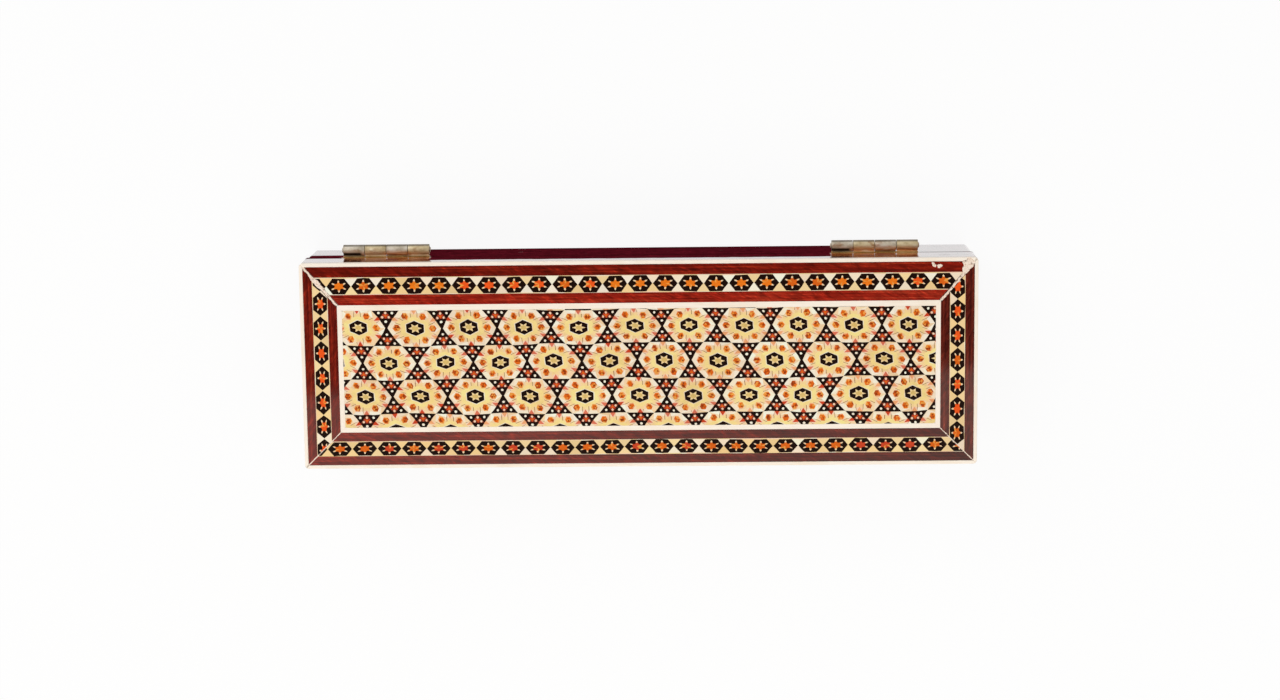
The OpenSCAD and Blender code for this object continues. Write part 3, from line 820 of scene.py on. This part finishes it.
def wrapped_inlay(node, right, half_flat, first, seed):
    """An inlay on a side of the box that turns half way round the rounded corner at each end."""
    out = right.cross(Z)
    low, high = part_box(node)
    depth = thickness(node, out)
    level = max(low.dot(out), high.dot(out))
    reach = half_flat + depth * math.pi / 4
    outline = [Vector(p) for p in ((-reach, low.z), (reach, low.z), (reach, high.z), (-reach, high.z))]

    def place(p):
        x = max(-half_flat, min(half_flat, p.x))
        turn = (p.x - x) / depth
        return right * (x + depth * math.sin(turn)) + out * (level - depth * (1 - math.cos(turn))) + Z * p.y

    def back(p):
        return right * max(-half_flat, min(half_flat, p.x)) + out * (level - depth) + Z * p.y

    turns = [half_flat + depth * math.pi / 12 * n for n in range(3)]
    marquetry(node, flowers(outline, first, seed), outline, place, back, turns + [-t for t in turns])


PANEL_FIRST = Vector((8.1 * MM, 1.15 * MM))
CREAMS = ("cream", "cream", "petal_foot", "petal")
PALE_CREAMS = ("cream", "petal", "petal_foot", "white")
REDS = ("scarlet", "scarlet", "orange")
STAR_ROWS = {  # first middle, pitch, hearts of the stars, grounds between them
    "front": (-0.98 * MM, 8.11 * MM, ("orange", "orange", "red"), CREAMS),
    "right": (0.46 * MM, 8.0 * MM, REDS, CREAMS),
    "back": (0.76 * MM, 8.163 * MM, ("flame", "flame", "scarlet", "orange"), PALE_CREAMS),
    "left": (4.4 * MM, 8.12 * MM, REDS, CREAMS),
}
flat_inlay("khatam_panel", X, Y, lambda outline: flowers(outline, PANEL_FIRST, 3))
for number, side in enumerate(SIDES):
    right = X if side in ("front", "back") else Y
    flat_inlay(f"{side}_border", right, Z.cross(right),
               lambda outline, row=STAR_ROWS[side], seed=11 + number: stars(outline, *row, seed))

BAND_LOW, BAND_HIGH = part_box("front_khatam")
BAND_FIRST = Vector((0, (BAND_LOW.z + BAND_HIGH.z) / 2))
wrapped_inlay("front_khatam", X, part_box("right_khatam")[0].x, BAND_FIRST, 21)
wrapped_inlay("right_khatam", Y, -BAND_HIGH.y, BAND_FIRST, 22)
wrapped_inlay("left_khatam", -Y, -BAND_HIGH.y, BAND_FIRST, 23)


# Filler in the open mitres

INLAY_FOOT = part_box("mitre_filler")[0].z
SMEAR = 0.04 * MM  # how far filler stands over the strips where it is smeared past its slot
RAGGED_SHARE = 0.5  # of a ridge's width that its ragged edge may take or add
FLAT_SHARE = 0.6  # of a ridge's width, between its crests
CHIPS = (  # middle in millimetres, half sizes, turn in degrees and seed
    ((95.6, 31.8), (0.95 * MM, 0.5 * MM), -55, 1),
    ((97.5, 31.4), (0.85 * MM, 0.6 * MM), 10, 2),
)


def ragged(t, seed):
    return noise.noise(Vector((t * 11, seed, 0.5))) + 0.6 * noise.noise(Vector((t * 29, seed, 4.5)))


def fill_mitre(mesh, outer, inner, slot, left_width, right_width, seed):
    """A ridge of filler along a mitre; its widths to both sides are functions of the share of its length."""
    along = (inner - outer).normalized()
    across = Vector((-along.y, along.x))
    sections = []
    steps = 48
    for n in range(steps + 1):
        t = n / steps
        middle = outer.lerp(inner, t)
        left = left_width(t) * (1 + RAGGED_SHARE * ragged(t, seed))
        right = right_width(t) * (1 + RAGGED_SHARE * ragged(t, seed + 20))
        crest = LID_TOP + SMEAR * (0.6 + 0.4 * ragged(t, seed + 40))
        profile = [(min(left, slot), INLAY_FOOT), (left, LID_TOP + (SMEAR / 8 if left > slot else -SMEAR)),
                   (left * FLAT_SHARE, crest if left > slot else LID_TOP - SMEAR / 2)]
        profile += [(-right * FLAT_SHARE, crest if right > slot else LID_TOP - SMEAR / 2),
                    (-right, LID_TOP + (SMEAR / 8 if right > slot else -SMEAR)), (-min(right, slot), INLAY_FOOT)]
        sections.append([mesh.verts.new((middle + across * w).to_3d() + Z * z) for w, z in profile])
    for one, two in zip(sections, sections[1:]):
        for i in range(len(one)):
            k = (i + 1) % len(one)
            mesh.faces.new([one[i], one[k], two[k], two[i]])
    mesh.faces.new(sections[0][::-1])
    mesh.faces.new(sections[-1])


def fill_chip(mesh, middle, radii, turn, seed):
    """A ragged lens of filler in a chipped place of the lid's top."""
    rim = []
    steps = 22
    for n in range(steps):
        reach = 1 + 0.3 * ragged(n / steps, seed)
        p = polar(reach, 360 * n / steps)
        p = Matrix.Rotation(math.radians(turn), 2) @ Vector((p.x * radii[0], p.y * radii[1]))
        rim.append(mesh.verts.new((middle + p).to_3d() + Z * (LID_TOP + SMEAR / 8)))
    top, bottom = (mesh.verts.new(middle.to_3d() + Z * z) for z in (LID_TOP + SMEAR, LID_TOP - 8 * SMEAR))
    for one, two in zip(rim, rim[1:] + rim[:1]):
        mesh.faces.new([one, two, top])
        mesh.faces.new([two, one, bottom])


def corner(strip, x, y):
    """A corner of the outline of the four strips of one kind; x and y are 0 or 1 for its low or high side."""
    side_x, side_y = ("left", "right")[x], ("front", "back")[y]
    return Vector((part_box(f"{side_x}_{strip}")[x].x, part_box(f"{side_y}_{strip}")[y].y))


def filler():
    """Ragged filler in the mitres, thin at the front and wide at the back, and in two chips at the back."""
    mesh = bmesh.new()
    front, back = 0.15 * MM, 0.55 * MM
    widths = {
        (0, 0): (front, lambda t: front, lambda t: front),
        (1, 0): (front, lambda t: front, lambda t: front),
        (0, 1): (back, lambda t: (0.32 + 0.5 * math.exp(-((t - 0.5) / 0.2) ** 2)) * MM,
                 lambda t: (0.34 + 0.45 * math.exp(-((t - 0.42) / 0.2) ** 2)) * MM),
        (1, 1): (back, lambda t: (0.38 + 0.35 * max(0, 1 - t / 0.6)) * MM,
                 lambda t: (0.34 + 2.1 * math.exp(-((t - 0.1) / 0.17) ** 2)) * MM),
    }
    for number, ((x, y), (slot, left, right)) in enumerate(widths.items()):
        fill_mitre(mesh, corner("outer_banding", x, y), corner("stringing", x, y), slot, left, right, 3 + number)
    for middle, radii, turn, seed in CHIPS:
        fill_chip(mesh, Vector(middle) * MM, radii, turn, seed)
    bmesh.ops.recalc_face_normals(mesh, faces=mesh.faces)
    piece_from(mesh, "mitre_filler_putty", "mitre_filler", PUTTY)


filler()


# Velvet linings

MESH_STEP = 1.6 * MM
TURNED_IN = 1.2 * MM  # width of the rounded edge
EDGE_SHARE, FACE_SHARE, SWAY_SHARE = 0.3, 0.5, 0.13  # of the lining's thickness


def lining(node, right, up):
    """A glued velvet sheet with turned-in edges and a slightly uneven face, in a node's place."""
    outline, level = show_face(node, right, up)
    out = right.cross(up)
    depth = thickness(node, out)
    low, high = (Vector(map(f, *outline)) for f in (min, max))
    mesh = bmesh.new()
    columns = max(2, round((high.x - low.x) / MESH_STEP))
    rows = max(2, round((high.y - low.y) / MESH_STEP))
    grid = []
    for j in range(rows + 1):
        for i in range(columns + 1):
            p = Vector((low.x + (high.x - low.x) * i / columns, low.y + (high.y - low.y) * j / rows))
            rim = min(p.x - low.x, high.x - p.x, p.y - low.y, high.y - p.y)
            inward = math.sqrt(max(0, 1 - (1 - min(1, rim / TURNED_IN)) ** 2))
            sway = noise.noise(Vector((p.x, p.y, level)) / (13 * MM)) + 0.5 * noise.noise(p.to_3d() / (5 * MM))
            height = depth * (EDGE_SHARE + FACE_SHARE * inward + SWAY_SHARE * sway * inward)
            grid.append(mesh.verts.new(right * p.x + up * p.y + out * (level - depth + height)))
    for j in range(rows):
        for i in range(columns):
            n = j * (columns + 1) + i
            mesh.faces.new([grid[n], grid[n + 1], grid[n + columns + 2], grid[n + columns + 1]])
    rim = [e for e in mesh.edges if e.is_boundary]
    walls = bmesh.ops.extrude_edge_only(mesh, edges=rim)["geom"]
    for v in (g for g in walls if isinstance(g, bmesh.types.BMVert)):
        v.co -= out * (v.co.dot(out) - (level - depth))
    bmesh.ops.holes_fill(mesh, edges=[g for g in walls if isinstance(g, bmesh.types.BMEdge) and g.is_boundary])
    bmesh.ops.recalc_face_normals(mesh, faces=mesh.faces)
    for face in mesh.faces:
        face.smooth = len(face.verts) == 4
    made = piece_from(mesh, node + "_velvet", node, VELVET)


lining("floor_lining", X, Y)
lining("lid_lining", X, -Y)
lining("front_lining", -X, Z)
lining("back_lining", X, Z)
lining("right_lining", -Y, Z)
lining("left_lining", Y, Z)


# Floor, light and camera

FLOOR_RADIUS = 6.0
FLOOR_GAP = 0.02 * MM  # keeps the floor clear of the underside
FLOOR_WHITE = 0.9  # share of plain white that the camera sees on the floor


def white_where_seen(tree, hidden, output, strength):
    """Shows white to the camera and in reflections, and the hidden shader to all other light."""
    path = tree.nodes.new("ShaderNodeLightPath")
    seen = path.outputs["Is Camera Ray"]
    for ray in ("Is Glossy Ray", "Is Transmission Ray"):
        both = tree.nodes.new("ShaderNodeMath")
        both.operation = "MAXIMUM"
        tree.links.new(seen, both.inputs[0])
        tree.links.new(path.outputs[ray], both.inputs[1])
        seen = both.outputs[0]
    share = tree.nodes.new("ShaderNodeMath")
    share.operation = "MULTIPLY"
    share.inputs[1].default_value = strength
    tree.links.new(seen, share.inputs[0])
    white = tree.nodes.new("ShaderNodeEmission")
    mixed = tree.nodes.new("ShaderNodeMixShader")
    tree.links.new(share.outputs[0], mixed.inputs[0])
    tree.links.new(hidden, mixed.inputs[1])
    tree.links.new(white.outputs[0], mixed.inputs[2])
    tree.links.new(mixed.outputs[0], output)


def floor():
    """A wide pale floor that keeps a faint shadow."""
    mesh = bmesh.new()
    bmesh.ops.create_circle(mesh, cap_ends=True, segments=96, radius=FLOOR_RADIUS)
    data = bpy.data.meshes.new("floor")
    mesh.to_mesh(data)
    mesh.free()
    made = bpy.data.objects.new("floor", data)
    made.location.z = CAD_BOX[0].z - FLOOR_GAP
    bpy.context.scene.collection.objects.link(made)
    material = bpy.data.materials.new("pale_floor")
    material.use_nodes = True
    tree = material.node_tree
    tree.nodes.remove(tree.nodes["Principled BSDF"])
    matte = tree.nodes.new("ShaderNodeBsdfDiffuse")
    matte.inputs["Color"].default_value = (0.9, 0.9, 0.9, 1)
    white_where_seen(tree, matte.outputs[0], tree.nodes["Material Output"].inputs["Surface"], FLOOR_WHITE)
    data.materials.append(material)


ROOM_LIGHT = 0.8
DARK_LIGHT = 0.05
DARK_AXIS = Vector((-0.021, -0.075, 1)).normalized()
DARK_CONE = (math.cos(math.radians(15)), math.cos(math.radians(11)))  # cosines from that axis


def room():
    """Even light from all round, with a small dark patch overhead that the back half of the lid mirrors."""
    world = bpy.data.worlds.new("room")
    world.use_nodes = True
    bpy.context.scene.world = world
    tree = world.node_tree
    tree.nodes.clear()
    output = tree.nodes.new("ShaderNodeOutputWorld")
    direction = tree.nodes.new("ShaderNodeTexCoord").outputs["Generated"]
    towards = tree.nodes.new("ShaderNodeVectorMath")
    towards.operation = "DOT_PRODUCT"
    towards.inputs[1].default_value = DARK_AXIS
    tree.links.new(direction, towards.inputs[0])
    dark = tree.nodes.new("ShaderNodeMapRange")
    for name, value in (("From Min", DARK_CONE[0]), ("From Max", DARK_CONE[1]),
                        ("To Min", ROOM_LIGHT), ("To Max", DARK_LIGHT)):
        dark.inputs[name].default_value = value
    tree.links.new(towards.outputs["Value"], dark.inputs["Value"])
    light = tree.nodes.new("ShaderNodeBackground")
    tree.links.new(dark.outputs[0], light.inputs["Strength"])
    path = tree.nodes.new("ShaderNodeLightPath")
    white = tree.nodes.new("ShaderNodeBackground")
    mixed = tree.nodes.new("ShaderNodeMixShader")
    tree.links.new(path.outputs["Is Camera Ray"], mixed.inputs[0])
    tree.links.new(light.outputs[0], mixed.inputs[1])
    tree.links.new(white.outputs[0], mixed.inputs[2])
    tree.links.new(mixed.outputs[0], output.inputs["Surface"])


def lamp(name, width, depth, radiance, colour):
    """A soft panel of light, of that size, that no camera sees."""
    light = bpy.data.lights.new(name, "AREA")
    light.shape = "RECTANGLE"
    light.size = width
    light.size_y = depth
    light.energy = math.pi * width * depth * radiance
    light.color = colour
    made = bpy.data.objects.new(name, light)
    made.visible_camera = False
    bpy.context.scene.collection.objects.link(made)
    return made


def lamps():
    """A panel over the front, whose edge the lid mirrors across its middle, and a softer one at the back."""
    depth = 0.8
    turn = math.radians(2.0)
    edge_middle = Vector((-0.0128, -0.117, LID_TOP + 0.6))
    front = lamp("front_panel", width=1.4, depth=depth, radiance=1.0, colour=(1.0, 0.94, 0.84))
    front.rotation_euler = (0, 0, turn)
    front.location = edge_middle + Vector((math.sin(turn), -math.cos(turn), 0)) * depth / 2
    key = lamp("key_panel", width=0.9, depth=0.9, radiance=1.8, colour=(1.0, 1.0, 1.0))
    key.location = (-0.75, 0.75, 1.0)
    key.rotation_euler = key.location.to_track_quat("Z", "Y").to_euler()


TILT, YAW, ROLL = (math.radians(a) for a in (9.825, 1.255, -0.711))
CAMERA_DISTANCE = 0.9
LENS = 77.865
AIM = Vector((0.415 * MM, 4.678 * MM, LID_TOP))


def camera():
    """Over the lid, a little to the hinge side, as the photograph is taken."""
    away = Vector((math.sin(YAW) * math.cos(TILT), math.sin(TILT), math.cos(TILT) * math.cos(YAW))).normalized()
    right = Y.cross(away).normalized()
    up = away.cross(right)
    axes = Matrix((right, up, away)).transposed() @ Matrix.Rotation(ROLL, 3, "Z")
    lens = bpy.data.cameras.new("camera")
    lens.lens = LENS
    lens.sensor_width = 36
    lens.clip_start = 0.01
    made = bpy.data.objects.new("camera", lens)
    made.matrix_world = Matrix.Translation(AIM + away * CAMERA_DISTANCE) @ axes.to_4x4()
    bpy.context.scene.collection.objects.link(made)
    bpy.context.scene.camera = made


floor()
room()
lamps()
camera()
bpy.context.scene.view_settings.view_transform = "Standard"
